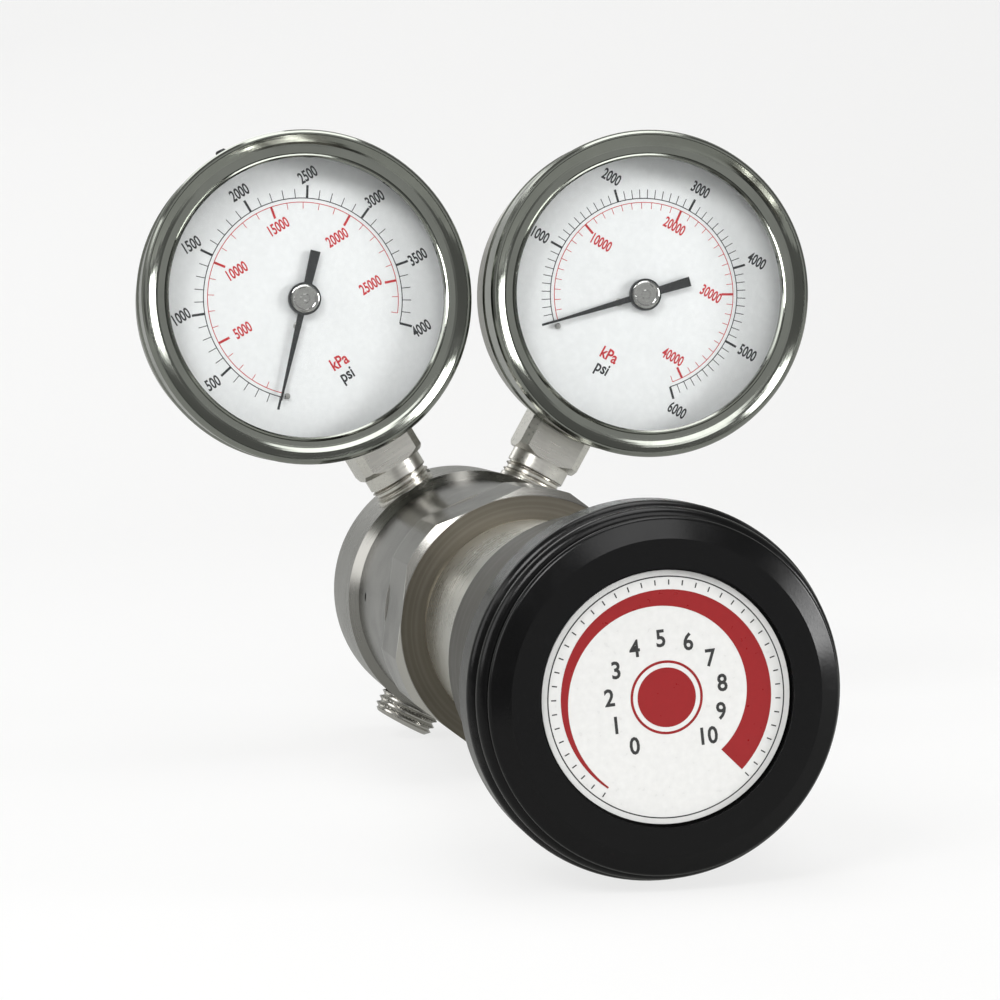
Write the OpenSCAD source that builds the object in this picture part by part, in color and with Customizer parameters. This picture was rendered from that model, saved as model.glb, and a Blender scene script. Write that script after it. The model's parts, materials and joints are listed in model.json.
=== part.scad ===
// Piston gas regulator: a spring-loaded piston valve with a hand knob and two pressure gauges.
// The regulator's axis lies along Y with the knob towards -Y. The origin is the centre of the flat rear
// face. A station is a distance along the axis from the rear face towards the knob.

/* [Body] */
// Diameter of the round body
body_d = 54.4; // [52:0.2:60]
// Length of the body from its rear face to the joint with the bonnet
body_len = 27.1; // [26.5:0.1:32]
// Chamfer on the body's front edge
body_chamfer = 1.9; // [0.5:0.1:2.5]
// Chamfer on the body's rear edge
rear_chamfer = 0.6; // [0.2:0.1:2]
// Diameter of the threaded spigot that the bonnet screws on to
spigot_d = 42; // [40:0.2:44]
// Length of the spigot in front of the joint
spigot_len = 8; // [7:0.1:10]
// Spacing of the two tapped mounting holes in the rear face
mount_spacing = 34; // [30:0.5:36]
// Diameter of the mounting holes
mount_hole_d = 5; // [4:0.1:6]
// Depth of the mounting holes
mount_hole_depth = 9; // [6:0.5:10]

/* [Ports] */
// Distance of the four ports' common plane behind the joint with the bonnet
port_setback = 8.3; // [7.9:0.1:8.7]
// Diameter of the bores for the gauges and the outlet
port_d = 13.2; // [12.6:0.1:13.4]
// Diameter of the inlet port's bore
inlet_d = 13.8; // [13.5:0.1:13.9]
// Diameter of the filter in the floor of the inlet port
filter_d = 11.2; // [9:0.1:11.4]
// Thickness of the filter
filter_t = 1.8; // [1:0.1:1.9]
// Distance from the regulator's axis to the flat floor of each port
port_floor_r = 13; // [12.5:0.1:15]
// Angle of each gauge port from straight up
gauge_port_angle = 30; // [30:1:34]
// Angle of the inlet and outlet ports from straight up
line_port_angle = 150; // [146:1:150]
// Diameter of the drilled passages behind the ports
passage_d = 2.2; // [1.6:0.1:2.4]
// How far the outlet nipple stands out of the body
nipple_out = 4.1; // [3:0.1:20]
// Bore of the outlet nipple
nipple_bore_d = 6; // [4:0.1:8]

/* [Bonnet] */
// Diameter of the round part of the bonnet
bonnet_d = 50.8; // [50.4:0.1:51.6]
// Length of the bonnet from the joint to its annular front face
bonnet_len = 57.6; // [50:0.1:70]
// Size across the wrench flats
hex_af = 50.2; // [49.8:0.1:50.3]
// Diameter over the turned corners of the hexagon
hex_corner_d = 53.4; // [52.4:0.1:54]
// Length of the hexagon
hex_len = 20.2; // [12:0.1:24]
// Turn of the hexagon about the axis
hex_turn = 8.4; // [0:0.1:30]
// Diameter of the bright sleeve in front of the bonnet
sleeve_d = 41.2; // [41:0.1:42]
// Length of the sleeve
sleeve_len = 67.3; // [64:0.1:75]
// Bore that holds the load spring
spring_bore_d = 36; // [35:0.1:37]
// Thickness of the sleeve's closed end
nose_len = 18; // [12:0.5:24]
// Diameter of the bonnet's vent hole
vent_d = 1.8; // [1:0.1:3]

/* [Knob] */
// Diameter of the knob
knob_d = 59.7; // [58:0.1:66]
// Length of the knob
knob_len = 15.2; // [14.8:0.1:18]
// Diameter of the knob's flat front
knob_face_d = 48.9; // [46:0.1:51]
// Radius of the rounded edges of the knob's rim and rib
rib_r = 1.6; // [1:0.1:1.7]
// Distance between the knob's rim, rib and cone
rib_step = 3.5; // [3.3:0.1:3.6]
// Gap between the sleeve's end and the knob's back edge
knob_gap = 21.7; // [21.6:0.1:30]
// Diameter of the steel skirt behind the knob
skirt_d = 49.9; // [48:0.1:51]
// Visible length of the skirt
skirt_len = 38.1; // [25:0.1:50]
// Diameter of the label set into the knob's face
label_d = 39.1; // [36:0.1:42]
// Thickness of the label
label_t = 0.6; // [0.3:0.1:1]
// How far the label lies below the knob's face
label_sink = 1.2; // [0.2:0.1:1.4]
// Diameter of the adjusting screw
screw_d = 14; // [12:0.5:16]

/* [Valve and spring] */
// Diameter of the piston's cylinder bore
piston_bore_d = 19; // [18:0.1:20]
// Diameter of the high-pressure chamber
chamber_d = 12; // [11:0.1:12.4]
// Diameter of the opening through the valve seat
seat_d = 3.8; // [3.2:0.1:4.4]
// Wire diameter of the load spring
spring_wire_d = 5.6; // [4:0.1:6]
// Outer diameter of the load spring
spring_d = 33.4; // [32:0.1:34]
// Coils of the load spring
spring_coils = 8.5; // [6:0.5:10]
// Diameter of the ball between screw and spring button
ball_d = 7; // [5:0.5:8]

/* [Gauges] */
// Visible length of each stem, from the body to the bezel
stem_len = 12.15; // [11:0.05:28]
// Turn of the left gauge about its stem
left_gauge_turn = 4.2; // [-6:0.1:6]
// Turn of the right gauge about its stem
right_gauge_turn = -0.4; // [-6:0.1:6]
// Outer diameter of the gauge bezel
bezel_d = 68.7; // [68:0.1:72]
// Width of the bezel's front band
bezel_band = 5.6; // [5.2:0.1:6.4]
// How far the bezel stands out over the case
bezel_over = 1.45; // [1.3:0.05:1.6]
// Thickness of the case wall
case_wall = 1; // [0.8:0.1:1.4]
// Depth of the case behind the stem's axis
case_back = 10.5; // [10:0.1:14]
// Height of the dial's face in front of the stem's axis
dial_height = 14; // [13.9:0.1:16]
// Width of the square block of the gauge stem
block_w = 14.2; // [13.6:0.1:14.6]
// Length of the pointer from its centre to its tip
pointer_len = 21.7; // [18:0.1:24]
// Mean radius of the Bourdon tube
bourdon_r = 24.5; // [23.5:0.1:26]
// Size of the gear teeth in the gauge movement
tooth_module = 0.4; // [0.38:0.01:0.41]

/* [Clearances] */
// Radial clearance of parts that slide or turn in a bore
running_gap = 0.05; // [0.03:0.01:0.1]
// Radial gap between the skirt and the sleeve
skirt_gap = 0.3; // [0.3:0.05:0.5]
// Clearance between loosely fitted pieces
loose_gap = 0.1; // [0.05:0.05:0.2]

/* [Hidden] */
$fn = 64;

// Stations of the body's ports and stepped bore
port_station = body_len - port_setback;
chamber_s = 5;
guide_s = 2;
piston_floor_s = body_len - 5.1;
retainer_s = piston_floor_s - 6;
spigot_s = body_len + spigot_len;

// Stations of the bonnet, its sleeve and the knob
face_s = body_len + bonnet_len;
nose_s = face_s + sleeve_len;
knob_back_s = nose_s + knob_gap;
knob_face_s = knob_back_s + knob_len;
skirt_s = knob_back_s - skirt_len;
web_s = knob_back_s + 0.3;
web_t = 5;
nut_t = 5;

// Piston and spring stack
valve_lift = 1.2;
piston_s = piston_floor_s + 3;
piston_top_s = spigot_s + valve_lift + 0.3;
spring_seat_t = 4;
spring_s = piston_top_s + spring_seat_t;
nose_wall_s = nose_s - nose_len;
flange_t = 4;
screw_s = nose_wall_s - flange_t - 5;
button_face_s = screw_s - 1;
button_t = 5.5;
spring_len = button_face_s - button_t - spring_s;
boss_r = spring_d / 2 - spring_wire_d - 0.8;
boss_t = 3;

// Shared radii
body_r = body_d / 2;
bonnet_r = bonnet_d / 2;
sleeve_r = sleeve_d / 2;
skirt_r = skirt_d / 2;
knob_r = knob_d / 2;
piston_bore_r = piston_bore_d / 2;
piston_r = piston_bore_r - running_gap;
spring_seat_r = spring_bore_d / 2 - 1.2;
screw_r = screw_d / 2;
bushing_r = screw_r + 3;
bushing_flange_r = bushing_r + 3;
stem_r = port_d / 2 - running_gap;
bezel_r = bezel_d / 2;
bezel_opening_r = bezel_r - bezel_band;
case_r = bezel_r - bezel_over;
gauge_reach = body_r + stem_len + bezel_r;

// Heights in a gauge, measured forwards from the stem's axis
dial_t = 0.6;
window_t = 2;
gasket_t = 2.4;
gasket_h = dial_height + 0.05;
window_h = gasket_h + gasket_t + 0.05;
lip_h = window_h + window_t + 0.05;
lip_t = 1.5;
bead_rise = 1.1;
bezel_front_h = lip_h + lip_t + bead_rise;
band_dip = 0.35;
bezel_back_h = block_w / 2 + 0.7;
head_h = 2;
head_v = -20.5;
plate_t = 1;
plate_gap = 6;
front_plate_h = head_h + plate_t + plate_gap;
sector_h = head_h + 3.5;
sector_t = 0.8;
link_h = head_h + 2.2;
link_t = 0.7;

// Gear train of the movement
pinion_teeth = 12;
sector_teeth = 84;
pointer_sweep = 270;
pinion_r = tooth_module * pinion_teeth / 2;
sector_r = tooth_module * sector_teeth / 2;
sector_v = -(pinion_r + sector_r);
sector_swing = pointer_sweep * pinion_teeth / sector_teeth;
pressure_angle = 25;
addendum = 0.8 * tooth_module;
dedendum = 1.15 * tooth_module;
tooth_slack = 0.05;
arbor_r = 0.9;
pivot_r = 0.8;
pin_r = 0.6;
tail_r = 7;
tail_angle = -sector_swing / 2;
tail_pin = [tail_r * cos(tail_angle), sector_v + tail_r * sin(tail_angle)];
tip_angle = -25;
tip_pin = [bourdon_r * cos(tip_angle) - 2.2, bourdon_r * sin(tip_angle) - 2.6];
pillar_points = [[-6.5, 3], [6.5, 3], [-5.6, -25.6], [4.6, -25.8]];
post_points = [[4.1, 4.1], [-4.1, -4.1]];
pillar_r = 1.6;
post_r = 1.2;
movement_screw_r = 0.7;
hub_r = 3.4;
tail_len = 10.2;

// Places children with local Z along the regulator's axis, from the rear face towards the knob
module on_axis() {
    rotate([90, 0, 0]) children();
}

// Places children with local Z pointing out of a port at the given angle from straight up
module at_port(angle) {
    translate([0, -port_station, 0]) rotate([0, angle, 0]) children();
}

// Places children on a gauge's face, with local X right, Y away from the regulator and Z to the front
module on_gauge(side) {
    turn = side < 0 ? left_gauge_turn : right_gauge_turn;
    at_port(side * gauge_port_angle) rotate([0, 0, turn])
        translate([0, 0, gauge_reach]) rotate([90, 0, 0]) children();
}

// Places children on a gauge's stem, with local Z away from the regulator's axis
module on_stem(side) {
    turn = side < 0 ? left_gauge_turn : right_gauge_turn;
    at_port(side * gauge_port_angle) rotate([0, 0, turn]) children();
}

// A solid of revolution from points of radius and station
module turned(points) {
    rotate_extrude() polygon(points);
}

// A plain ring between two stations
module ring(outer, inner, from, to) {
    translate([0, 0, from]) difference() {
        cylinder(r = outer, h = to - from);
        translate([0, 0, -1]) cylinder(r = inner, h = to - from + 2);
    }
}

// A round bore between two stations
module bore(r, from, to) {
    translate([0, 0, from]) cylinder(r = r, h = to - from);
}

// A round-wire ring about the local axis
module o_ring(mean_r, wire_r, s) {
    translate([0, 0, s]) rotate_extrude() translate([mean_r, 0]) circle(r = wire_r, $fn = 24);
}

// Height of a spring's wire at a share t of its turns, with one closed turn at each end
function coil_rise(t, turns, wire_d, free) =
    let (n = t * turns, closed = wire_d, open = (free - 3 * wire_d) / (turns - 2))
    n < 1 ? n * closed
    : n > turns - 1 ? closed + (turns - 2) * open + (n - turns + 1) * closed
    : closed + (n - 1) * open;

// A helical compression spring standing on the local origin
module coil_spring(mean_r, wire_d, free, turns, steps, sides) {
    count = floor(turns * steps);
    points = [for (i = [0:count], j = [0:sides - 1])
        let (a = 360 * turns * i / count, b = 360 * j / sides, r = mean_r + wire_d / 2 * cos(b))
        [r * cos(a), r * sin(a), wire_d / 2 * (1 + sin(b)) + coil_rise(i / count, turns, wire_d, free)]];
    walls = [for (i = [0:count - 1], j = [0:sides - 1])
        let (k = (j + 1) % sides)
        [i * sides + j, (i + 1) * sides + j, (i + 1) * sides + k, i * sides + k]];
    start = [[for (j = [0:sides - 1]) j]];
    end = [[for (j = [sides - 1:-1:0]) count * sides + j]];
    polyhedron(points, concat(walls, start, end), convexity = 10);
}

module regulator_body() {
    color("lightslategray") difference() {
        union() {
            on_axis() turned([[0, 0], [body_r - rear_chamfer, 0], [body_r, rear_chamfer],
                [body_r, body_len - body_chamfer], [body_r - body_chamfer, body_len], [0, body_len]]);
            on_axis() bore(spigot_d / 2, body_len - 1, spigot_s);
        }
        on_axis() bore(piston_bore_r, piston_floor_s, spigot_s + 1);
        on_axis() bore(retainer_r + running_gap, retainer_s, piston_floor_s + 1);
        on_axis() bore(chamber_d / 2, chamber_s, retainer_s + 1);
        on_axis() bore(guide_r + loose_gap, guide_s, chamber_s + 1);
        for (angle = [-gauge_port_angle, gauge_port_angle, -line_port_angle])
            at_port(angle) bore(port_d / 2, port_floor_r, body_r + 2);
        at_port(line_port_angle) union() {
            bore(inlet_d / 2, port_floor_r, body_r + 2);
            bore(filter_d / 2 + running_gap, port_floor_r - filter_t, port_floor_r + 1);
        }
        for (angle = [gauge_port_angle, line_port_angle]) {
            feed(angle, chamber_offset, 0.7 * chamber_d / 2);
            feed(-angle, piston_offset, 0.9 * piston_bore_r);
        }
        for (side = [-1, 1]) translate([side * mount_spacing / 2, 0, 0]) on_axis()
            bore(mount_hole_d / 2, -1, mount_hole_depth);
    }
}

// Shifts of the passages from the ports' plane, to reach the two chambers
chamber_offset = retainer_s - passage_d / 2 - 0.6 - port_station;
piston_offset = piston_floor_s + passage_d / 2 + 0.6 - port_station;
retainer_r = chamber_d / 2 + 2;
guide_r = 1.6;

// A drilled passage from a port's floor to a chamber
module feed(angle, offset, inner_r) {
    translate([0, -offset, 0]) at_port(angle) bore(passage_d / 2, inner_r, port_floor_r + 1);
}

module bonnet() {
    groove = 0.5;
    face_r = hex_af / 2;
    hex_s = face_s - hex_len;
    corner_s = face_s - (hex_corner_d / 2 - face_r) * tan(37);
    color("silver") difference() {
        union() {
            on_axis() turned([[0, body_len], [bonnet_r - groove, body_len],
                [bonnet_r - groove, body_len + 0.7], [bonnet_r, body_len + 0.7 + groove],
                [bonnet_r, hex_s + 1], [0, hex_s + 1]]);
            on_axis() intersection() {
                turned([[0, hex_s], [hex_corner_d / 2, hex_s], [hex_corner_d / 2, corner_s],
                    [face_r, face_s], [0, face_s]]);
                rotate([0, 0, 90 - hex_turn]) translate([0, 0, hex_s])
                    cylinder(r = face_r / cos(30), h = hex_len, $fn = 6);
            }
            on_axis() turned([[0, face_s - 1], [sleeve_r - 0.4, face_s - 1], [sleeve_r - 0.4, face_s + 0.8],
                [sleeve_r, face_s + 1.2], [sleeve_r, nose_s - 1], [sleeve_r - 1, nose_s], [0, nose_s]]);
        }
        on_axis() bore(spigot_d / 2 + running_gap, body_len - 1, spigot_s + 0.5);
        on_axis() bore(seal_land_r, body_len - 1, body_len + seal_land_t);
        on_axis() bore(spring_bore_d / 2, spigot_s, nose_wall_s);
        on_axis() bore(bushing_r + running_gap, nose_wall_s - 1, nose_s + 1);
        rotate([0, vent_angle, 0]) translate([0, -vent_s, 0])
            bore(vent_d / 2, spring_seat_r, bonnet_r + 1);
    }
}

// Seal between body and bonnet, and the vent hole's place
seal_wire_r = 0.75;
seal_land_t = 2 * seal_wire_r + 0.4;
seal_land_r = spigot_d / 2 + 2 * seal_wire_r + 0.15;
vent_s = spigot_s + 2.4;
vent_angle = -85;

module bonnet_seal() {
    color("black") on_axis()
        o_ring(spigot_d / 2 + seal_wire_r + 0.1, seal_wire_r, body_len + seal_wire_r + 0.15);
}

module inlet_filter() {
    color("gray") at_port(line_port_angle)
        bore(filter_d / 2, port_floor_r - filter_t, port_floor_r - running_gap);
}

module outlet_nipple() {
    end_r = body_r + nipple_out;
    pipe_r = stem_r + 0.3;
    color("silver") at_port(-line_port_angle) difference() {
        turned([[0, port_floor_r + 1], [stem_r, port_floor_r + 1], [stem_r, body_r + 0.2],
            [pipe_r, body_r + 0.2], [pipe_r, end_r - 1], [pipe_r - 1, end_r], [0, end_r]]);
        bore(nipple_bore_d / 2, port_floor_r, end_r + 1);
    }
}

// Poppet valve: closed at rest, it opens towards the rear face
poppet_head_s = retainer_s - 5;
seat_s = retainer_s + 0.2;
seat_t = 2.8;

module valve_spring() {
    wire = 1;
    color("silver") on_axis() translate([0, 0, chamber_s])
        coil_spring(guide_r + 1.7, wire, poppet_head_s - chamber_s, 4, 16, 8);
}

module poppet() {
    head_r = chamber_d / 2 - 1.8;
    stem_end_s = piston_s - 1;
    rear_s = guide_s + valve_lift + 0.4;
    color("silver") on_axis() turned([[0, rear_s], [guide_r, rear_s],
        [guide_r, poppet_head_s], [head_r, poppet_head_s], [head_r, poppet_head_s + 2.4],
        [seat_d / 2 + 1.3, poppet_head_s + 2.4], [seat_d / 2 - 0.05, seat_s], [seat_d / 2 - 0.6, seat_s],
        [seat_d / 2 - 0.6, stem_end_s], [0, stem_end_s]]);
}

module valve_seat() {
    color("ivory") on_axis() ring(seat_d / 2 + 2.5, seat_d / 2, seat_s, seat_s + seat_t);
}

module seat_retainer() {
    color("silver") on_axis() difference() {
        ring(retainer_r, seat_d / 2, retainer_s, piston_floor_s);
        bore(seat_d / 2 + 2.5 + running_gap, retainer_s - 1, seat_s + seat_t);
        for (a = [0, 180]) rotate([0, 0, a]) translate([retainer_r - 2, 0, 0])
            bore(0.9, piston_floor_s - 2, piston_floor_s + 1);
    }
}

// Seal groove of the piston
piston_seal_r = 1.1;
backup_t = 1.4;
groove_len = 2 * piston_seal_r + backup_t + 0.4;
piston_groove_s = (piston_s + piston_top_s - groove_len) / 2 - 1.5;
groove_r = piston_r - 2 * piston_seal_r - 0.05;

module piston() {
    color("gainsboro") on_axis() turned([[0, piston_s - 1], [3, piston_s - 1], [3, piston_s],
        [piston_r - 0.5, piston_s], [piston_r, piston_s + 0.5], [piston_r, piston_groove_s],
        [groove_r, piston_groove_s], [groove_r, piston_groove_s + groove_len],
        [piston_r, piston_groove_s + groove_len], [piston_r, piston_top_s], [0, piston_top_s]]);
}

module piston_seal() {
    color("black") on_axis()
        o_ring(piston_r - piston_seal_r, piston_seal_r, piston_groove_s + piston_seal_r + 0.1);
}

module piston_backup_ring() {
    from = piston_groove_s + 2 * piston_seal_r + 0.25;
    color("ivory") on_axis() ring(piston_r, groove_r + 0.05, from, from + backup_t);
}

module lower_spring_seat() {
    color("gray") on_axis() turned([[0, piston_top_s], [spring_seat_r - 1, piston_top_s],
        [spring_seat_r, piston_top_s + 1], [spring_seat_r, spring_s], [boss_r, spring_s],
        [boss_r - 1, spring_s + boss_t], [0, spring_s + boss_t]]);
}

module load_spring() {
    color("dimgray") on_axis() translate([0, 0, spring_s])
        coil_spring((spring_d - spring_wire_d) / 2, spring_wire_d, spring_len, spring_coils, 24, 10);
}

module upper_spring_button() {
    back_s = button_face_s - button_t;
    color("gray") on_axis() difference() {
        turned([[0, back_s - boss_t], [boss_r - 1, back_s - boss_t], [boss_r, back_s],
            [spring_seat_r, back_s], [spring_seat_r, button_face_s - 1.5],
            [spring_seat_r - 1.5, button_face_s], [0, button_face_s]]);
        ball_socket();
    }
}

// The ball's centre lies midway between the button and the screw
module ball_socket() {
    translate([0, 0, button_face_s + 0.5]) sphere(r = ball_d / 2 + loose_gap);
}

module thrust_ball() {
    color("silver") on_axis() translate([0, 0, button_face_s + 0.5]) sphere(d = ball_d);
}

module adjusting_screw() {
    end_s = web_s + web_t + nut_t;
    color("silver") on_axis() difference() {
        turned([[0, screw_s], [screw_r - 1, screw_s], [screw_r, screw_s + 1], [screw_r, end_s - 1],
            [screw_r - 1, end_s], [0, end_s]]);
        ball_socket();
    }
}

module screw_bushing() {
    color("goldenrod") on_axis() difference() {
        union() {
            bore(bushing_flange_r, nose_wall_s - flange_t, nose_wall_s);
            bore(bushing_r, nose_wall_s - 1, nose_s);
        }
        bore(screw_r + running_gap, nose_wall_s - flange_t - 1, nose_s + 1);
    }
}

// Screws that hold the knob to the skirt
knob_screw_r = 1.5;
nut_pocket_r = (screw_r + 3) / cos(30) + 0.5;
knob_screw_circle = nut_pocket_r + 2 * knob_screw_r + 0.5;
knob_floor_s = knob_face_s - label_t - label_sink;

module knob_screw_places() {
    for (a = [90, 210, 330]) rotate([0, 0, a]) translate([knob_screw_circle, 0, 0]) children();
}

module knob_skirt() {
    inner_r = sleeve_r + skirt_gap;
    color("slategray") on_axis() difference() {
        turned([[0, skirt_s], [skirt_r - 0.6, skirt_s], [skirt_r, skirt_s + 0.6], [skirt_r, web_s + web_t],
            [0, web_s + web_t]]);
        bore(inner_r, skirt_s - 1, web_s);
        bore(screw_r + running_gap, web_s - 1, web_s + web_t + 1);
        knob_screw_places() bore(knob_screw_r + running_gap, web_s + 1, web_s + web_t + 1);
    }
}

module knob_nut() {
    color("silver") on_axis() difference() {
        translate([0, 0, web_s + web_t]) cylinder(r = (screw_r + 3) / cos(30), h = nut_t - 0.3, $fn = 6);
        bore(screw_r + running_gap, web_s, web_s + web_t + nut_t);
    }
}

// Outline of the knob's side: a rounded rim, a rounded rib and a rounded edge that step down to the cone
module knob_outline() {
    rim_s = knob_back_s + 6.4;
    rib_s = rim_s + rib_step;
    edge_s = rib_s + rib_step - 0.2;
    rib_crest_r = knob_r - 0.85;
    edge_crest_r = rib_crest_r - 1.25;
    edge_r = 0.9;
    edge = [edge_crest_r - edge_r, edge_s];
    cone_tilt = 29;
    polygon([[0, knob_back_s], [knob_r - 0.5, knob_back_s], [knob_r, knob_back_s + 0.5], [knob_r, rim_s],
        [knob_r - rib_r + 0.1, rim_s + rib_step / 2], [rib_crest_r - rib_r, rib_s],
        [edge_crest_r - 0.75, rib_s + rib_step / 2], [edge_crest_r - 0.75, edge_s - 0.5],
        edge + edge_r * [sin(cone_tilt), cos(cone_tilt)], [knob_face_d / 2, knob_face_s],
        [0, knob_face_s]]);
    translate([knob_r - rib_r, rim_s]) circle(r = rib_r, $fn = 32);
    translate([rib_crest_r - rib_r, rib_s]) circle(r = rib_r, $fn = 32);
    translate(edge) circle(r = edge_r, $fn = 32);
}

module knob() {
    color("#202020") on_axis() difference() {
        rotate_extrude() knob_outline();
        bore(skirt_r + running_gap, knob_back_s - 1, web_s + web_t);
        bore(nut_pocket_r, web_s, web_s + web_t + nut_t + 0.3);
        bore(label_d / 2 + 0.4, knob_floor_s, knob_face_s + 1);
        knob_screw_places() bore(knob_screw_r + loose_gap, web_s, knob_face_s);
        knob_screw_places() bore(2 * knob_screw_r, knob_floor_s - 2.2, knob_face_s);
    }
}

module knob_screws() {
    color("silver") on_axis() knob_screw_places() union() {
        bore(knob_screw_r, web_s + 1.5, knob_floor_s - 0.2);
        bore(2 * knob_screw_r - loose_gap, knob_floor_s - 2.2, knob_floor_s - 0.2);
    }
}

module knob_label() {
    color("whitesmoke") on_axis() bore(label_d / 2, knob_floor_s, knob_floor_s + label_t);
}

// Stem of a gauge: threaded end, round collar, square block and the head inside the case
module gauge_socket(side) {
    collar_r = body_r + 3;
    block_r = body_r + 5.9;
    head_s = gauge_reach - case_r + 3;
    half = block_w / 2;
    edge = 1.7;
    color("silver") difference() {
        union() {
            on_stem(side) turned([[0, port_floor_r + 1], [stem_r - 1, port_floor_r + 1],
                [stem_r, port_floor_r + 2], [stem_r, body_r], [stem_r - 0.6, body_r + 0.4],
                [stem_r - 0.6, collar_r], [stem_r, collar_r], [stem_r, block_r + 1], [0, block_r + 1]]);
            on_stem(side) intersection() {
                translate([0, 0, block_r]) linear_extrude(gauge_reach - case_r + 4 - block_r) polygon([
                    [half, half - edge], [half - edge, half], [edge - half, half], [-half, half - edge],
                    [-half, edge - half], [edge - half, -half], [half - edge, -half], [half, edge - half]]);
                turned([[0, block_r], [half + 0.4, block_r], [half + 2.2, block_r + 1.4],
                    [half + 2.2, gauge_reach], [0, gauge_reach]]);
            }
            on_stem(side) translate([-half, -head_h, head_s])
                cube([block_w, head_h + half, gauge_reach + head_v - head_s]);
        }
        on_stem(side) bore(1.5, port_floor_r, gauge_reach - bourdon_r);
        on_gauge(side) for (i = [2, 3]) translate(pillar_points[i])
            translate([0, 0, -2]) cylinder(r = movement_screw_r + running_gap, h = head_h + 3);
    }
}

module gauge_case(side) {
    front_h = dial_height;
    color("silver") on_gauge(side) difference() {
        turned([[0, -case_back], [case_r - 3.4, -case_back], [case_r - 1.2, 1.4 - case_back],
            [case_r - 0.5, 3.5 - case_back], [case_r - 0.4, -1], [case_r, 0], [case_r, front_h],
            [case_r - case_wall, front_h], [case_r - case_wall, 0.4], [case_r - case_wall - 0.7, -1],
            [case_r - case_wall - 0.8, 4 - case_back], [case_r - 4, case_wall + 0.2 - case_back],
            [0, case_wall + 0.2 - case_back]]);
        translate([-block_w / 2 - loose_gap, -case_r - 2, -block_w / 2 - loose_gap])
            cube([block_w + 2 * loose_gap, 6, block_w + 2 * loose_gap]);
        at_fill_hole() bore(plug_r + loose_gap, -3, 2);
    }
}

// Rubber plug with a nib that closes the case's fill hole
plug_r = 1.9;
plug_flange_r = plug_r + 0.8;
nib_r = 1.15;
plug_h = 3.5;
plug_turn = 5;

// Places children with local Z pointing out of the case, from its outer wall
module at_fill_hole() {
    rotate([0, 0, -plug_turn]) rotate([-90, 0, 0]) translate([0, -plug_h, case_r]) children();
}

module gauge_case_plug(side) {
    under_s = -case_wall - 0.2;
    color("black") on_gauge(side) at_fill_hole() turned([[0, under_s - 0.9], [plug_r + 0.4, under_s - 0.9],
        [plug_r + 0.4, under_s], [plug_r, under_s], [plug_r, 0], [plug_flange_r, 0], [plug_flange_r, 0.5],
        [nib_r + 0.3, 0.9], [nib_r, 1.2], [nib_r, 2.1], [nib_r - 0.3, 2.4], [0, 2.4]]);
}

// Front band of the bezel: a shallow hollow that falls from the outer bead to the inner lip
function band(n) = [for (i = [0:n])
    let (t = i / n, outer = bezel_r - 1.15, inner = bezel_opening_r + 0.9)
    [outer + (inner - outer) * t, bezel_front_h - 0.25 - (bead_rise + 0.1) * t - band_dip * sin(180 * t)]];

module gauge_bezel(side) {
    inner_r = case_r + loose_gap;
    lip_front_h = lip_h + lip_t;
    color("silver") on_gauge(side) turned(concat(
        [[bezel_r - 0.6, bezel_back_h], [bezel_r - 0.3, bezel_back_h + 0.4],
        [bezel_r - 0.3, bezel_back_h + 1], [bezel_r - 0.55, bezel_back_h + 1.5],
        [bezel_r - 0.55, bezel_front_h - 3.4], [bezel_r, bezel_front_h - 2.2],
        [bezel_r, bezel_front_h - 1], [bezel_r - 0.3, bezel_front_h - 0.3],
        [bezel_r - 0.7, bezel_front_h], [bezel_r - 1, bezel_front_h]],
        band(8),
        [[bezel_opening_r + 0.65, lip_front_h - 0.1], [bezel_opening_r + 0.35, lip_front_h],
        [bezel_opening_r, lip_front_h - 0.35], [bezel_opening_r, lip_h], [inner_r, lip_h],
        [inner_r, bezel_back_h]]));
}

// Radial room of the window, the gasket and the dial, and the gasket's width
glass_gap = 0.2;
dial_gap = 0.4;
gasket_w = 2;
dial_hole_r = 1.8;

module gauge_window(side) {
    color([0.85, 0.9, 0.92, 0.35]) on_gauge(side)
        bore(case_r - glass_gap, window_h, window_h + window_t);
}

module gauge_gasket(side) {
    outer = case_r - glass_gap;
    color("black") on_gauge(side) ring(outer, outer - gasket_w, gasket_h, gasket_h + gasket_t);
}

module gauge_dial(side) {
    color("white") on_gauge(side)
        ring(case_r - case_wall - dial_gap, dial_hole_r, dial_height - dial_t, dial_height);
}

// Half angle that a tooth takes at radius r, from its angle at the pitch circle
function involute(a) = tan(a) * 180 / PI - a;
function flank(r, pitch, half) =
    let (base = pitch * cos(pressure_angle), a = acos(min(1, base / r)))
    half + involute(pressure_angle) - involute(a);

// Outline of one tooth about the +X direction, from the root to the tip
function tooth(pitch, teeth, root, tip) =
    let (half = 90 / teeth - tooth_slack / 2 / pitch * 180 / PI,
        base = max(root, pitch * cos(pressure_angle)),
        radii = [root, for (i = [0:4]) base + (tip - base) * i / 4])
    concat([for (r = radii) [r * cos(flank(r, pitch, half)), r * sin(flank(r, pitch, half))]],
        [for (i = [len(radii) - 1:-1:0])
            let (r = radii[i]) [r * cos(flank(r, pitch, half)), -r * sin(flank(r, pitch, half))]]);

module toothed(pitch, teeth, first, last) {
    root = pitch - dedendum;
    for (k = [first:last]) rotate(360 * k / teeth) polygon(concat([[root - 0.8, root * sin(90 / teeth)]],
        tooth(pitch, teeth, root, pitch + addendum), [[root - 0.8, -root * sin(90 / teeth)]]));
}

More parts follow.
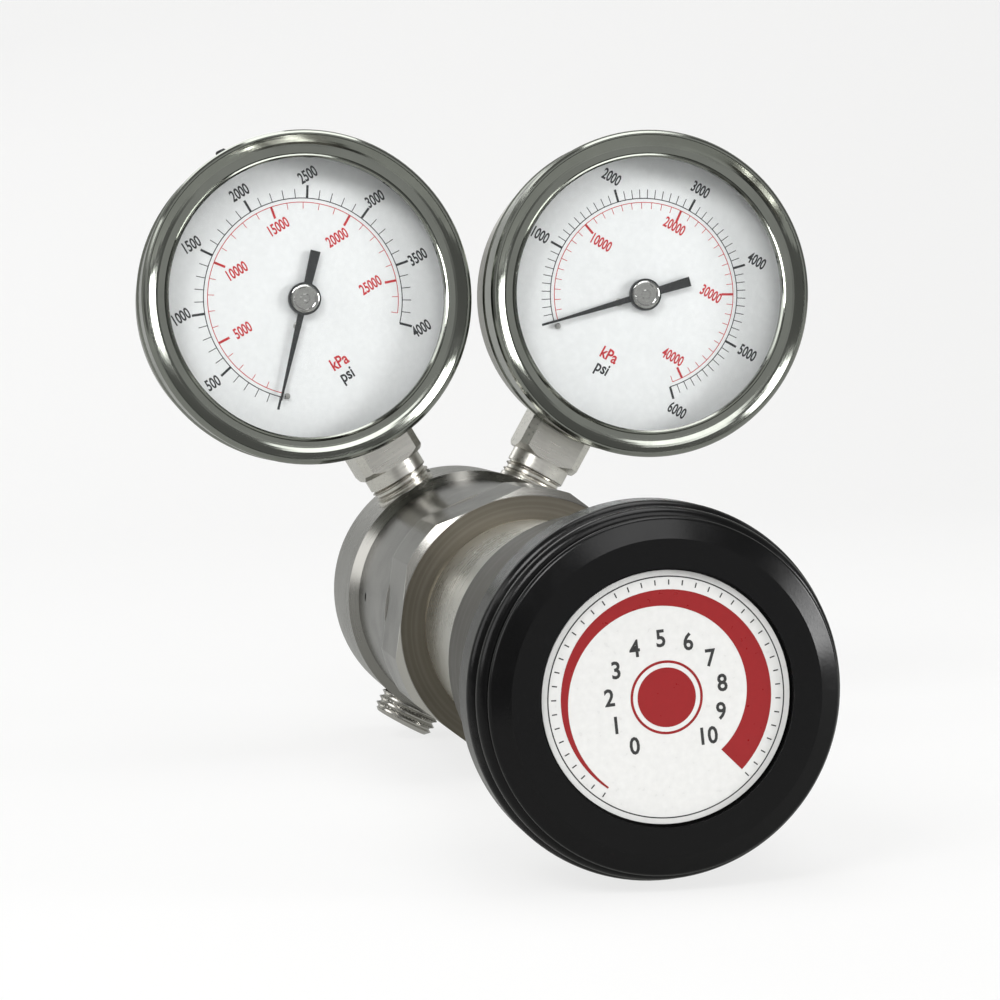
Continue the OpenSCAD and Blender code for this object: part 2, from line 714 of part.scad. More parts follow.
// Pinion and its arbor, which carries the pointer in front of the dial
module gauge_arbor(side) {
    color("goldenrod") on_gauge(side) union() {
        bore(arbor_r, head_h + plate_t * 0.2, dial_height + 1.6);
        translate([0, 0, sector_h - 0.7]) rotate([0, 0, -90 + 180 / pinion_teeth])
            linear_extrude(sector_t + 1.4) {
                circle(r = pinion_r - dedendum);
                toothed(pinion_r, pinion_teeth, 0, pinion_teeth - 1);
            }
    }
}

module gauge_hairspring(side) {
    turns = 3.5;
    steps = 84;
    inner = [for (i = [0:steps]) let (a = 360 * turns * i / steps, r = arbor_r + 0.3 + 3.2 * i / steps)
        [r * cos(a), r * sin(a)]];
    outer = [for (i = [steps:-1:0]) let (a = 360 * turns * i / steps, r = arbor_r + 0.55 + 3.2 * i / steps)
        [r * cos(a), r * sin(a)]];
    color("goldenrod") on_gauge(side) translate([0, 0, head_h + plate_t + 0.3])
        linear_extrude(0.8) polygon(concat(inner, outer));
}

// Toothed sector with its pivot and the slotted tail that the link drives
module gauge_sector(side) {
    first = -11;
    last = 2;
    pitch_angle = 360 / sector_teeth;
    rim = sector_r - dedendum;
    from = 90 + (first - 0.5) * pitch_angle;
    to = 90 + (last + 0.5) * pitch_angle;
    arc = [for (i = [0:12]) from + (to - from) * i / 12];
    color("goldenrod") on_gauge(side) translate([0, sector_v, 0]) union() {
        translate([0, 0, sector_h]) linear_extrude(sector_t) difference() {
            union() {
                rotate(90) toothed(sector_r, sector_teeth, first, last);
                polygon(concat([for (a = arc) rim * [cos(a), sin(a)]],
                    [for (i = [12:-1:0]) (rim - 2.4) * [cos(arc[i]), sin(arc[i])]]));
                for (a = [from + 5, to - 5]) rotate(a) translate([0, -0.9]) square([rim - 0.6, 1.8]);
                circle(r = 2.4);
                rotate(tail_angle) translate([0, -1.6]) square([tail_r + 1.8, 3.2]);
            }
            rotate(tail_angle) {
                translate([tail_r - 0.9, -pin_r - 0.06]) square([1.2, 2 * pin_r + 0.12]);
                for (x = [tail_r - 0.9, tail_r + 0.3]) translate([x, 0]) circle(r = pin_r + 0.06, $fn = 24);
            }
        }
        bore(pivot_r, head_h + plate_t * 0.2, front_plate_h + plate_t * 0.8);
    }
}

// Bar between the tube's tip and the sector's tail
module gauge_link(side) {
    span = tip_pin - tail_pin;
    color("goldenrod") on_gauge(side) difference() {
        union() {
            translate([tail_pin[0], tail_pin[1], link_h]) rotate([0, 0, atan2(span[1], span[0])])
                translate([0, -0.9, 0]) cube([norm(span), 1.8, link_t]);
            for (p = [tail_pin, tip_pin]) translate([p[0], p[1], link_h]) cylinder(r = 1.4, h = link_t);
            translate([tail_pin[0], tail_pin[1], 0])
                bore(pin_r, link_h, sector_h + sector_t + 0.3);
        }
        translate([tip_pin[0], tip_pin[1], link_h - 1]) cylinder(r = pin_r + running_gap, h = link_t + 2);
    }
}

// Section of the flattened tube: half its thickness, its flat side and its depth behind the head
tube_r = 1.4;
tube_flat = 4.4;
tube_depth = 7.6;

// Flattened tube from the stem's head round to its free tip
module gauge_bourdon_tube(side) {
    half = block_w / 2;
    start = -90 - asin((half - 1) / bourdon_r);
    sweep = 360 + start - tip_angle;
    low = head_h - tube_depth;
    tip_len = 3.4;
    color("goldenrod") on_gauge(side) difference() {
        union() {
            rotate([0, 0, tip_angle]) rotate_extrude(angle = sweep)
                translate([bourdon_r, low + tube_r]) {
                    translate([-tube_r, 0]) square([2 * tube_r, tube_flat]);
                    circle(r = tube_r);
                    translate([0, tube_flat]) circle(r = tube_r);
                }
            translate([tip_pin[0], tip_pin[1], low]) cylinder(r = 2, h = link_h - low - 0.1);
            translate([tip_pin[0], tip_pin[1], low]) cylinder(r = pin_r, h = link_h + link_t + 0.4 - low);
            rotate([0, 0, tip_angle]) translate([bourdon_r - tube_r - 0.8, -tip_len, low + 0.6])
                cube([2 * tube_r + 0.8, tip_len + 0.2, 6]);
        }
        translate([-half, -case_r, -half]) cube([block_w, case_r + head_v, half + head_h]);
    }
}

// Outline shared by the two movement plates
module plate_outline() {
    low = pillar_points[2][1] - 1.8;
    polygon([[-8.4, 1.2], [-6.6, 5.4], [6.6, 5.4], [8.4, 1.2], [6.6, low], [-7.2, low]]);
}

module gauge_back_plate(side) {
    color("goldenrod") on_gauge(side) difference() {
        union() {
            translate([0, 0, head_h]) linear_extrude(plate_t) plate_outline();
            for (p = pillar_points) translate(p) bore(pillar_r, head_h, front_plate_h);
        }
        movement_holes();
        for (i = [2, 3]) translate(pillar_points[i])
            bore(movement_screw_r + running_gap, 0, front_plate_h + 1);
    }
}

// Pivot holes for the pinion's arbor and the sector
module movement_holes() {
    bore(arbor_r + running_gap, 0, front_plate_h + plate_t + 1);
    translate([0, sector_v, 0]) bore(pivot_r + running_gap, 0, front_plate_h + plate_t + 1);
}

module gauge_front_plate(side) {
    color("goldenrod") on_gauge(side) difference() {
        union() {
            translate([0, 0, front_plate_h]) linear_extrude(plate_t) plate_outline();
            for (p = post_points) translate(p) bore(post_r, front_plate_h, dial_height - dial_t);
        }
        movement_holes();
        for (i = [2, 3]) translate(pillar_points[i])
            bore(movement_screw_r + running_gap, 0, front_plate_h + plate_t + 1);
    }
}

module gauge_movement_screws(side) {
    color("silver") on_gauge(side) for (i = [2, 3]) translate(pillar_points[i]) union() {
        bore(movement_screw_r, -1.5, front_plate_h + plate_t + 0.5);
        bore(1.5, front_plate_h + plate_t, front_plate_h + plate_t + 1.1);
    }
}

// Pointer at zero: 45 degrees to the left of the stem, seen from the front
module gauge_pointer(side) {
    from = dial_height + 0.7;
    color("#151515") on_gauge(side) difference() {
        union() {
            rotate([0, 0, 135]) translate([0, 0, from]) linear_extrude(0.4)
                polygon([[-0.75, 0], [-0.2, pointer_len], [0.2, pointer_len], [0.75, 0],
                    [1.05, -tail_len], [-1.05, -tail_len]]);
            bore(hub_r, from - 0.4, from + 0.7);
        }
        bore(arbor_r + running_gap, from - 1, from + 2);
    }
}

regulator_body();
bonnet();
bonnet_seal();
inlet_filter();
valve_spring();
poppet();
valve_seat();
seat_retainer();
piston();
piston_seal();
piston_backup_ring();
lower_spring_seat();
load_spring();
upper_spring_button();
thrust_ball();
adjusting_screw();
screw_bushing();
knob_skirt();
knob_nut();
knob();
knob_screws();
knob_label();
outlet_nipple();
gauge_socket(-1);  // left_socket
gauge_case(-1);  // left_case
gauge_bezel(-1);  // left_bezel
gauge_window(-1);  // left_window
gauge_gasket(-1);  // left_gasket
gauge_dial(-1);  // left_dial
gauge_pointer(-1);  // left_pointer
gauge_arbor(-1);  // left_arbor
gauge_hairspring(-1);  // left_hairspring
gauge_sector(-1);  // left_sector
gauge_link(-1);  // left_link
gauge_bourdon_tube(-1);  // left_bourdon_tube
gauge_back_plate(-1);  // left_back_plate
gauge_front_plate(-1);  // left_front_plate
gauge_movement_screws(-1);  // left_movement_screws
gauge_case_plug(-1);  // left_case_plug
gauge_socket(1);  // right_socket
gauge_case(1);  // right_case
gauge_bezel(1);  // right_bezel
gauge_window(1);  // right_window
gauge_gasket(1);  // right_gasket
gauge_dial(1);  // right_dial
gauge_pointer(1);  // right_pointer
gauge_arbor(1);  // right_arbor
gauge_hairspring(1);  // right_hairspring
gauge_sector(1);  // right_sector
gauge_link(1);  // right_link
gauge_bourdon_tube(1);  // right_bourdon_tube
gauge_back_plate(1);  // right_back_plate
gauge_front_plate(1);  // right_front_plate
gauge_movement_screws(1);  // right_movement_screws
gauge_case_plug(1);  // right_case_plug
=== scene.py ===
import json
import math

import bpy
from bpy.props import (
    FloatProperty,
    FloatVectorProperty,
    IntProperty,
    PointerProperty,
)
from mathutils import Matrix, Vector


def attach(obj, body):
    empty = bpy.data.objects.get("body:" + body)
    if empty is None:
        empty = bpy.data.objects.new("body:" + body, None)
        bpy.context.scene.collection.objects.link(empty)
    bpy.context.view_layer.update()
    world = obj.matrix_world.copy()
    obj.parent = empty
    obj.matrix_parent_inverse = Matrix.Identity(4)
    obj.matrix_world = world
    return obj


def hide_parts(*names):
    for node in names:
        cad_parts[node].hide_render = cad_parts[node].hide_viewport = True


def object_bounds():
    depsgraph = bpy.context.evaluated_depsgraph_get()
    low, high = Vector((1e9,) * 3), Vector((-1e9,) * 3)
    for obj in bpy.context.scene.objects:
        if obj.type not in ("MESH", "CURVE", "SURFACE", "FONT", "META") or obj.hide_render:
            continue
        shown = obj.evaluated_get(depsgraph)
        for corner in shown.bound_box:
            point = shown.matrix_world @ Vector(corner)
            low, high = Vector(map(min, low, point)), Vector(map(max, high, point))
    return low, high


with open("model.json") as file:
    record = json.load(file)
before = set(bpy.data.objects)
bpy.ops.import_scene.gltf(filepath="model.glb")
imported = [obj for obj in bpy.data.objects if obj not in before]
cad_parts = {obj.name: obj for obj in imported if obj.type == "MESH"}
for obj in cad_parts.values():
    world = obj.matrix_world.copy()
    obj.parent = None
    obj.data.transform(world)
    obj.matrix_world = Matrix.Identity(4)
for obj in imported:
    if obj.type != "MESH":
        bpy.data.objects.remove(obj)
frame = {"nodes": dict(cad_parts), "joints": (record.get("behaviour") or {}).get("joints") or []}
CAD_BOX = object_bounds()

bl_info = {
    "name": "Piston gas regulator",
    "version": (1, 0, 0),
    "blender": (4, 5, 0),
    "location": "View3D > Sidebar > Regulator",
    "description": "Dial prints, threads, label and finishes of a gas regulator",
    "category": "Object",
}

MM = 0.001
NODES = frame["nodes"]
JOINTS = {joint["name"]: joint for joint in frame["joints"]}
SIDES = ("left", "right")

# Sizes shared with the solids, in millimetres
PORT_STATION = 18.8
BODY_R = 27.2
GAUGE_REACH = 73.7
DIAL_HEIGHT = 14.0
STEM_R = 6.55
PIPE_R = 6.85
INLET_R = 6.9
PORT_FLOOR_R = 13.0
NIPPLE_END_R = 31.3
NIPPLE_BORE_R = 3.0
COLLAR_R = 30.2
LABEL_STATION = 187.7
FACE_STATION = 84.7
STEP_STATION = 65.5
MOUNT_SPACING = 34.0
MOUNT_HOLE_R = 2.5
MOUNT_HOLE_DEPTH = 9.0


def gauge_matrix(side):
    """Frame of a gauge's dial face: X right, Y away from the stem, Z to the front."""
    turn = JOINTS[f"{side}_pointer_turn"]
    front = -Vector(turn["axis"]).normalized()
    up = Vector(JOINTS[f"{side}_link_travel"]["axis"]).normalized()
    right = up.cross(front)
    place = port_centre() + (up * GAUGE_REACH + front * DIAL_HEIGHT) * MM
    return Matrix.Translation(place) @ Matrix((right, up, front)).transposed().to_4x4()


def port_centre():
    """Where the axes of the ports and stems cross the regulator's axis."""
    return Vector((0, -PORT_STATION * MM, 0))


def port_matrix(degrees):
    """Frame of a port, with Z pointing out of it."""
    return Matrix.Translation(port_centre()) @ Matrix.Rotation(math.radians(degrees), 4, "Y")


def stem_matrix(side):
    """Frame of a gauge's stem, with Z pointing away from the regulator's axis."""
    return (
        Matrix.Translation(port_centre())
        @ gauge_matrix(side).to_3x3().to_4x4()
        @ Matrix.Rotation(math.radians(-90), 4, "X")
    )


def axis_matrix(station=0.0, x=0.0):
    """Frame on the regulator's axis, with Z towards the knob's face."""
    return Matrix.Translation((x * MM, -station * MM, 0)) @ Matrix.Rotation(
        math.radians(90), 4, "X"
    )


# ---------------------------------------------------------------- settings


class DialSettings(bpy.types.PropertyGroup):
    """Print on the two dials"""

    digit_height: FloatProperty(
        name="Digit height", description="Height of a numeral", default=2.42, unit="NONE"
    )
    digit_width: FloatProperty(
        name="Digit width",
        description="Width of the numerals as a share of the plain font",
        default=0.62,
        subtype="FACTOR",
    )
    black: FloatVectorProperty(
        name="Black print",
        description="Colour of the outer scale",
        size=3,
        subtype="COLOR",
        default=(0.02, 0.021, 0.024),
    )
    red: FloatVectorProperty(
        name="Red print",
        description="Colour of the inner scale",
        size=3,
        subtype="COLOR",
        default=(0.56, 0.014, 0.022),
    )
    white: FloatVectorProperty(
        name="Dial white",
        description="Colour of the dial's ground",
        size=3,
        subtype="COLOR",
        default=(0.84, 0.86, 0.86),
    )


class ThreadSettings(bpy.types.PropertyGroup):
    """Cut threads of the ports and stems"""

    pitch: FloatProperty(
        name="Pipe pitch", description="Pitch of the pipe threads in mm", default=1.411
    )
    depth: FloatProperty(
        name="Pipe thread depth", description="Depth of the pipe threads in mm", default=0.75
    )
    steps: IntProperty(
        name="Steps", description="Faces around one turn of a thread", default=48, min=12
    )


class FinishSettings(bpy.types.PropertyGroup):
    """Colours of the metals and plastics"""

    steel: FloatVectorProperty(
        name="Steel", description="Turned steel", size=3, subtype="COLOR", default=(0.42, 0.412, 0.385)
    )
    knob: FloatVectorProperty(
        name="Knob", description="Knob's plastic", size=3, subtype="COLOR", default=(0.003, 0.003, 0.0032)
    )
    label_red: FloatVectorProperty(
        name="Label red", description="Print of the knob's label", size=3, subtype="COLOR",
        default=(0.27, 0.005, 0.007),
    )
    brass: FloatVectorProperty(
        name="Brass", description="Movement and bushing", size=3, subtype="COLOR",
        default=(0.66, 0.47, 0.2),
    )


# --------------------------------------------------------- shader expressions


class Value:
    """A socket that carries one number; arithmetic on it adds Math nodes."""

    def __init__(self, paint, socket):
        self.paint, self.socket = paint, socket

    def _with(self, operation, *others, swap=False, clamp=False):
        terms = [self, *others]
        if swap:
            terms.reverse()
        node = self.paint.node(
            "ShaderNodeMath",
            {"operation": operation, "use_clamp": clamp},
            {index: term for index, term in enumerate(terms)},
        )
        return Value(self.paint, node.outputs[0])

    def __add__(self, other):
        return self._with("ADD", other)

    __radd__ = __add__

    def __sub__(self, other):
        return self._with("SUBTRACT", other)

    def __rsub__(self, other):
        return self._with("SUBTRACT", other, swap=True)

    def __mul__(self, other):
        return self._with("MULTIPLY", other)

    __rmul__ = __mul__

    def __truediv__(self, other):
        return self._with("DIVIDE", other)

    def __rtruediv__(self, other):
        return self._with("DIVIDE", other, swap=True)

    def __pow__(self, other):
        return self._with("POWER", other)

    def __neg__(self):
        return self._with("MULTIPLY", -1.0)

    def __abs__(self):
        return self._with("ABSOLUTE")

    def clamped(self):
        return self._with("ADD", 0.0, clamp=True)

    def least(self, other):
        return self._with("MINIMUM", other)

    def most(self, other):
        return self._with("MAXIMUM", other)

    def rises(self, low, high):
        """0 below low, 1 above high and smooth between them."""
        node = self.paint.node(
            "ShaderNodeMapRange",
            {"interpolation_type": "SMOOTHSTEP"},
            {"Value": self, "From Min": low, "From Max": high},
        )
        return Value(self.paint, node.outputs[0])


class Paint:
    """Builds one procedural material on object coordinates."""

    def __init__(self, name):
        self.material = bpy.data.materials.new(name)
        self.material.use_nodes = True
        self.tree = self.material.node_tree
        self.tree.nodes.clear()
        self.out = self.tree.nodes.new("ShaderNodeOutputMaterial")
        self.shader = self.tree.nodes.new("ShaderNodeBsdfPrincipled")
        self.tree.links.new(self.shader.outputs[0], self.out.inputs[0])

    def node(self, kind, settings=None, inputs=None):
        """Adds a node: its settings first, then the values or links of its sockets."""
        node = self.tree.nodes.new(kind)
        for key, value in (settings or {}).items():
            if key == "stops":
                self._stops(node.color_ramp, value)
            else:
                setattr(node, key, value)
        for key, value in (inputs or {}).items():
            self._feed(node.inputs[key], value)
        return node

    def _stops(self, ramp, stops):
        while len(ramp.elements) > 1:
            ramp.elements.remove(ramp.elements[-1])
        ramp.elements[0].position, ramp.elements[0].color = stops[0][0], (*stops[0][1], 1)
        for position, colour in stops[1:]:
            ramp.elements.new(position).color = (*colour, 1)

    def _feed(self, socket, value):
        if isinstance(value, Value):
            self.tree.links.new(value.socket, socket)
        elif isinstance(value, bpy.types.NodeSocket):
            self.tree.links.new(value, socket)
        else:
            socket.default_value = value

    def set(self, **sockets):
        """Sets or links the main shader's sockets, with spaces written as underscores."""
        for key, value in sockets.items():
            self._feed(self.shader.inputs[key.replace("_", " ")], value)
        return self

    def place(self, matrix=None):
        """Object coordinates in metres, or in the frame of a matrix."""
        coordinates = self.node("ShaderNodeTexCoord").outputs["Object"]
        if matrix is None:
            return coordinates
        mapping = self.node("ShaderNodeMapping", {"vector_type": "TEXTURE"}, {"Vector": coordinates})
        mapping.inputs["Location"].default_value = matrix.to_translation()
        mapping.inputs["Rotation"].default_value = matrix.to_euler()
        return mapping.outputs[0]

    def parts(self, vector):
        node = self.node("ShaderNodeSeparateXYZ", None, {0: vector})
        return [Value(self, socket) for socket in node.outputs]

    def vector(self, x, y, z):
        return self.node("ShaderNodeCombineXYZ", None, {0: x, 1: y, 2: z}).outputs[0]

    def noise(self, vector, scale, detail=3.0, roughness=0.5):
        node = self.node(
            "ShaderNodeTexNoise",
            {"noise_dimensions": "3D"},
            {"Vector": vector, "Scale": scale, "Detail": detail, "Roughness": roughness},
        )
        return Value(self, node.outputs[0])

    def speckle(self, vector, scale):
        """Distance to the nearest of many scattered points."""
        node = self.node("ShaderNodeTexVoronoi", None, {"Vector": vector, "Scale": scale})
        return Value(self, node.outputs["Distance"])

    def blend(self, mask, first, second):
        """Colour that goes from first to second as the mask rises."""
        node = self.node("ShaderNodeMix", {"data_type": "RGBA"}, {0: mask})
        for socket, colour in ((node.inputs[6], first), (node.inputs[7], second)):
            self._feed(socket, (*colour, 1) if isinstance(colour, (tuple, list)) else colour)
        return node.outputs[2]

    def relief(self, height, strength, distance):
        node = self.node(
            "ShaderNodeBump", None, {"Height": height, "Strength": strength, "Distance": distance}
        )
        return self.set(Normal=node.outputs[0])


def shade(colour, factor):
    return tuple(min(1.0, channel * factor) for channel in colour)


def turned_metal(name, colour, roughness, matrix, lines=900.0, grain=0.25, stain=0.12, depth=0.02):
    """Metal turned on a lathe about the Z axis of matrix: fine rings, light stains and a fine grain."""
    paint = Paint(name)
    spot = paint.place(matrix)
    x, y, z = paint.parts(spot)
    radius = (x * x + y * y) ** 0.5
    rings = paint.noise(paint.vector(radius * lines, z * lines, 0.0), 1.0, 2.0)
    cloud = paint.noise(spot, 55.0, 4.0, 0.6)
    blotch = cloud.rises(0.42, 0.72)
    tone = paint.blend(blotch * stain * 4, colour, shade(colour, 0.72))
    tone = paint.blend(rings.rises(0.35, 0.7) * grain, tone, shade(colour, 1.18))
    paint.set(
        Base_Color=tone,
        Metallic=1.0,
        Roughness=(roughness + (rings - 0.5) * 0.12 + (cloud - 0.5) * 0.18).clamped(),
    )
    return paint.relief(rings + cloud * 0.3, 0.2, depth * MM).material


def bonnet_metal(name, colour, matrix):
    """Dark polished round part and flats, with the round corners at the front and a thin band at the step painted
    brighter as highlights, a satin end face and a bright satin sleeve.
    """
    paint = Paint(name)
    spot = paint.place(matrix)
    x, y, z = paint.parts(spot)
    radius = (x * x + y * y) ** 0.5
    sleeve = z.rises((FACE_STATION + 0.05) * MM, (FACE_STATION + 0.12) * MM)
    # Round corners at the front of the flats: a painted highlight
    corner = z.rises((FACE_STATION - 1.3) * MM, (FACE_STATION - 1.2) * MM) * radius.rises(25.15 * MM, 25.3 * MM)
    face = z.rises((FACE_STATION - 0.05) * MM, (FACE_STATION - 0.02) * MM) * (1.0 - sleeve)
    rings = paint.noise(paint.vector(radius * 1500, z * 1500, 0.0), 1.0, 2.0)
    cloud = paint.noise(spot, 60.0, 4.0, 0.6)
    lay = paint.noise(paint.vector(radius * 300, z * 4000, 0.0), 1.0, 1.0) * sleeve * 0.45
    # Thin band at the step, painted brighter as a highlight line
    step_highlight = z.rises((STEP_STATION - 0.06) * MM, (STEP_STATION - 0.03) * MM)
    step_highlight = step_highlight * (1.0 - z.rises((STEP_STATION + 0.03) * MM, (STEP_STATION + 0.06) * MM))
    tone = paint.blend(cloud.rises(0.4, 0.7), shade(colour, 0.5), shade(colour, 0.31))
    # Painted highlight: the front corners and the step band are lightened to 1.4 times the steel
    tone = paint.blend(corner.most(step_highlight), tone, shade(colour, 1.4))
    tone = paint.blend(face, tone, (0.2, 0.182, 0.147))
    tone = paint.blend(sleeve, tone, (0.86, 0.85, 0.8))
    tone = paint.blend(rings.rises(0.4, 0.7) * 0.05, tone, (0.8, 0.79, 0.76))
    soft = sleeve * 0.08 + face.most(step_highlight) * 0.14
    paint.set(
        Base_Color=tone,
        Metallic=1.0,
        Roughness=(0.2 + soft + (rings - 0.5) * 0.06 + (cloud - 0.5) * 0.14).clamped(),
    )
    return paint.relief(rings * 0.012 + cloud * 0.004 + lay, 0.6, 0.1 * MM).material


def milled_metal(name, colour, roughness, matrix, depth=0.02):
    """Machined metal with short scratches that run along the X axis of matrix."""
    paint = Paint(name)
    spot = paint.place(matrix)
    x, y, z = paint.parts(spot)
    scratches = paint.noise(paint.vector(x * 120, y * 1500, z * 1500), 1.0, 3.0)
    cloud = paint.noise(spot, 90.0, 4.0, 0.6)
    tone = paint.blend(scratches.rises(0.4, 0.7) * 0.4, colour, shade(colour, 1.25))
    tone = paint.blend(cloud.rises(0.5, 0.8) * 0.5, tone, shade(colour, 0.65))
    paint.set(
        Base_Color=tone,
        Metallic=1.0,
        Roughness=(roughness + (scratches - 0.5) * 0.2 + (cloud - 0.5) * 0.15).clamped(),
    )
    return paint.relief(scratches, 0.3, depth * MM).material


def polished_metal(name, colour, roughness, matrix):
    """Polished metal with a faint haze and a few fine scratches around the Z axis of matrix."""
    paint = Paint(name)
    spot = paint.place(matrix)
    x, y, z = paint.parts(spot)
    radius = (x * x + y * y) ** 0.5
    haze = paint.noise(spot, 70.0, 4.0, 0.55)
    hair = paint.noise(paint.vector(radius * 2500, z * 2500, haze * 2), 1.0, 1.0)
    tone = paint.blend(haze.rises(0.35, 0.75), colour, shade(colour, 0.86))
    paint.set(
        Base_Color=tone,
        Metallic=1.0,
        Roughness=(roughness + haze.rises(0.45, 0.75) * 0.1 + hair.rises(0.66, 0.74) * 0.12).clamped(),
    )
    return paint.relief(haze, 0.08, 0.02 * MM).material


def moulded(name, colour, roughness, matrix, rim_paling=0.0, paling_from=1.0, paling_to=1.1, gloss=0.5):
    """Moulded black plastic or rubber with a fine matte grain; blotches towards its outer radius are paler."""
    paint = Paint(name)
    spot = paint.place(matrix)
    x, y, z = paint.parts(spot)
    radius = (x * x + y * y) ** 0.5
    grain = paint.noise(spot, 2600.0, 2.0)
    cloud = paint.noise(spot, 120.0, 5.0, 0.65)
    # Paler blotches between two radii towards the outer edge, slightly rougher
    paler_rim = (radius.rises(paling_from * MM, paling_to * MM) * cloud.rises(0.35, 0.7)) * rim_paling
    tone = paint.blend(paler_rim, colour, (0.09, 0.088, 0.085))
    dust = cloud.rises(0.55, 0.85) * 0.25
    tone = paint.blend(dust, tone, shade(colour, 3.0))
    paint.set(
        Base_Color=tone,
        Roughness=(roughness + (cloud - 0.5) * 0.22 + paler_rim * 0.1).clamped(),
        Specular_IOR_Level=gloss,
    )
    return paint.relief(grain + cloud * 0.6, 0.25, 0.03 * MM).material


def printed(name, colour, roughness=0.4, coat=0.0):
    """Ink or paint with a barely uneven film."""
    paint = Paint(name)
    film = paint.noise(paint.place(), 900.0, 3.0)
    tone = paint.blend(film.rises(0.3, 0.8) * 0.5, colour, shade(colour, 1.12))
    paint.set(Base_Color=tone, Roughness=(roughness + (film - 0.5) * 0.15).clamped(), Coat_Weight=coat)
    return paint.relief(film, 0.05, 0.01 * MM).material


def clear_glass():
    """Clear flat window: mostly seen through, with a soft gloss."""
    paint = Paint("window_glass")
    smear = paint.noise(paint.place(), 60.0, 4.0, 0.6)
    paint.set(
        Base_Color=(0.25, 0.27, 0.27, 1),
        Roughness=(0.03 + smear.rises(0.5, 0.8) * 0.05).clamped(),
        Alpha=(0.05 + smear.rises(0.45, 0.85) * 0.02).clamped(),
    )
    paint.material.surface_render_method = "BLENDED"
    return paint.material


# --------------------------------------------------------------- modelling


def deselect():
    if bpy.context.object and bpy.context.object.mode != "OBJECT":
        bpy.ops.object.mode_set(mode="OBJECT")
    bpy.ops.object.select_all(action="DESELECT")


def pick(*pieces):
    deselect()
    for piece in pieces:
        piece.select_set(True)
    bpy.context.view_layer.objects.active = pieces[-1]
    return pieces[-1]


def settle(piece, matrix, name, smooth=30.0):
    """Moves a finished shape into place and leaves its object at the origin."""
    pick(piece)
    piece.matrix_world = matrix @ piece.matrix_world
    bpy.ops.object.transform_apply(location=True, rotation=True, scale=True)
    if smooth:
        bpy.ops.object.shade_smooth_by_angle(angle=math.radians(smooth))
    piece.name = piece.data.name = name
    return piece


def tidy_faces(threshold=1e-7):
    """In edit mode: merges doubles and turns all faces outwards."""
    bpy.ops.mesh.select_all(action="SELECT")
    bpy.ops.mesh.remove_doubles(threshold=threshold)
    bpy.ops.mesh.normals_make_consistent(inside=False)


def chain(points):
    """Edges through points of radius and height in mm, drawn out from one vertex in edit mode."""
    deselect()
    bpy.ops.mesh.primitive_plane_add(size=MM, location=(0, 0, 0))
    bpy.ops.object.mode_set(mode="EDIT")
    bpy.ops.mesh.select_mode(type="VERT")
    bpy.ops.mesh.select_all(action="SELECT")
    bpy.ops.mesh.merge(type="CENTER")
    steps = [(points[0][0], points[0][1])] + [
        (b[0] - a[0], b[1] - a[1]) for a, b in zip(points, points[1:])
    ]
    bpy.ops.transform.translate(value=(steps[0][0] * MM, 0, steps[0][1] * MM))
    for across, along in steps[1:]:
        bpy.ops.mesh.extrude_vertices_move(
            TRANSFORM_OT_translate={"value": (across * MM, 0, along * MM)}
        )
    return bpy.context.object


def lathe(points, steps=96):
    """A closed body turned about Z from an outline of radius and height in mm."""
    piece = chain(points)
    bpy.ops.mesh.select_all(action="SELECT")
    bpy.ops.mesh.spin(steps=steps, angle=math.tau, center=(0, 0, 0), axis=(0, 0, 1))
    tidy_faces()
    bpy.ops.object.mode_set(mode="OBJECT")
    return piece


def helix(root, crest, pitch, low, high, steps):
    """A closed screw thread about Z between two heights in mm."""
    turns = math.ceil((high - low) / pitch) + 2
    start = low - pitch
    piece = chain(
        [
            (root, start),
            (root, start + pitch * 0.1),
            (crest, start + pitch * 0.46),
            (crest, start + pitch * 0.54),
            (root, start + pitch * 0.9),
            (root, start + pitch),
        ]
    )
    bpy.ops.object.mode_set(mode="OBJECT")
    screw = piece.modifiers.new("thread", "SCREW")
    screw.axis = "Z"
    screw.angle = math.tau
    screw.screw_offset = pitch * MM
    screw.iterations = turns
    screw.steps = screw.render_steps = steps
    screw.use_merge_vertices = True
    screw.merge_threshold = 1e-6
    bpy.ops.object.modifier_apply(modifier="thread")
    bpy.ops.object.mode_set(mode="EDIT")
    for height, keep in ((low, "above"), (high, "below")):
        bpy.ops.mesh.select_all(action="SELECT")
        bpy.ops.mesh.bisect(
            plane_co=(0, 0, height * MM),
            plane_no=(0, 0, 1),
            use_fill=True,
            clear_inner=keep == "above",
            clear_outer=keep == "below",
        )
    tidy_faces()
    bpy.ops.object.mode_set(mode="OBJECT")
    return piece


def carve(piece, tool, operation):
    """Applies a boolean of piece with tool, and removes the tool."""
    pick(piece)
    cut = piece.modifiers.new("cut", "BOOLEAN")
    cut.object = tool
    cut.operation = operation
    cut.solver = "EXACT"
    bpy.ops.object.modifier_apply(modifier="cut")
    bpy.data.objects.remove(tool)
    return piece


def join(pieces):
    pick(*pieces)
    if len(pieces) > 1:
        bpy.ops.object.join()
    return bpy.context.object


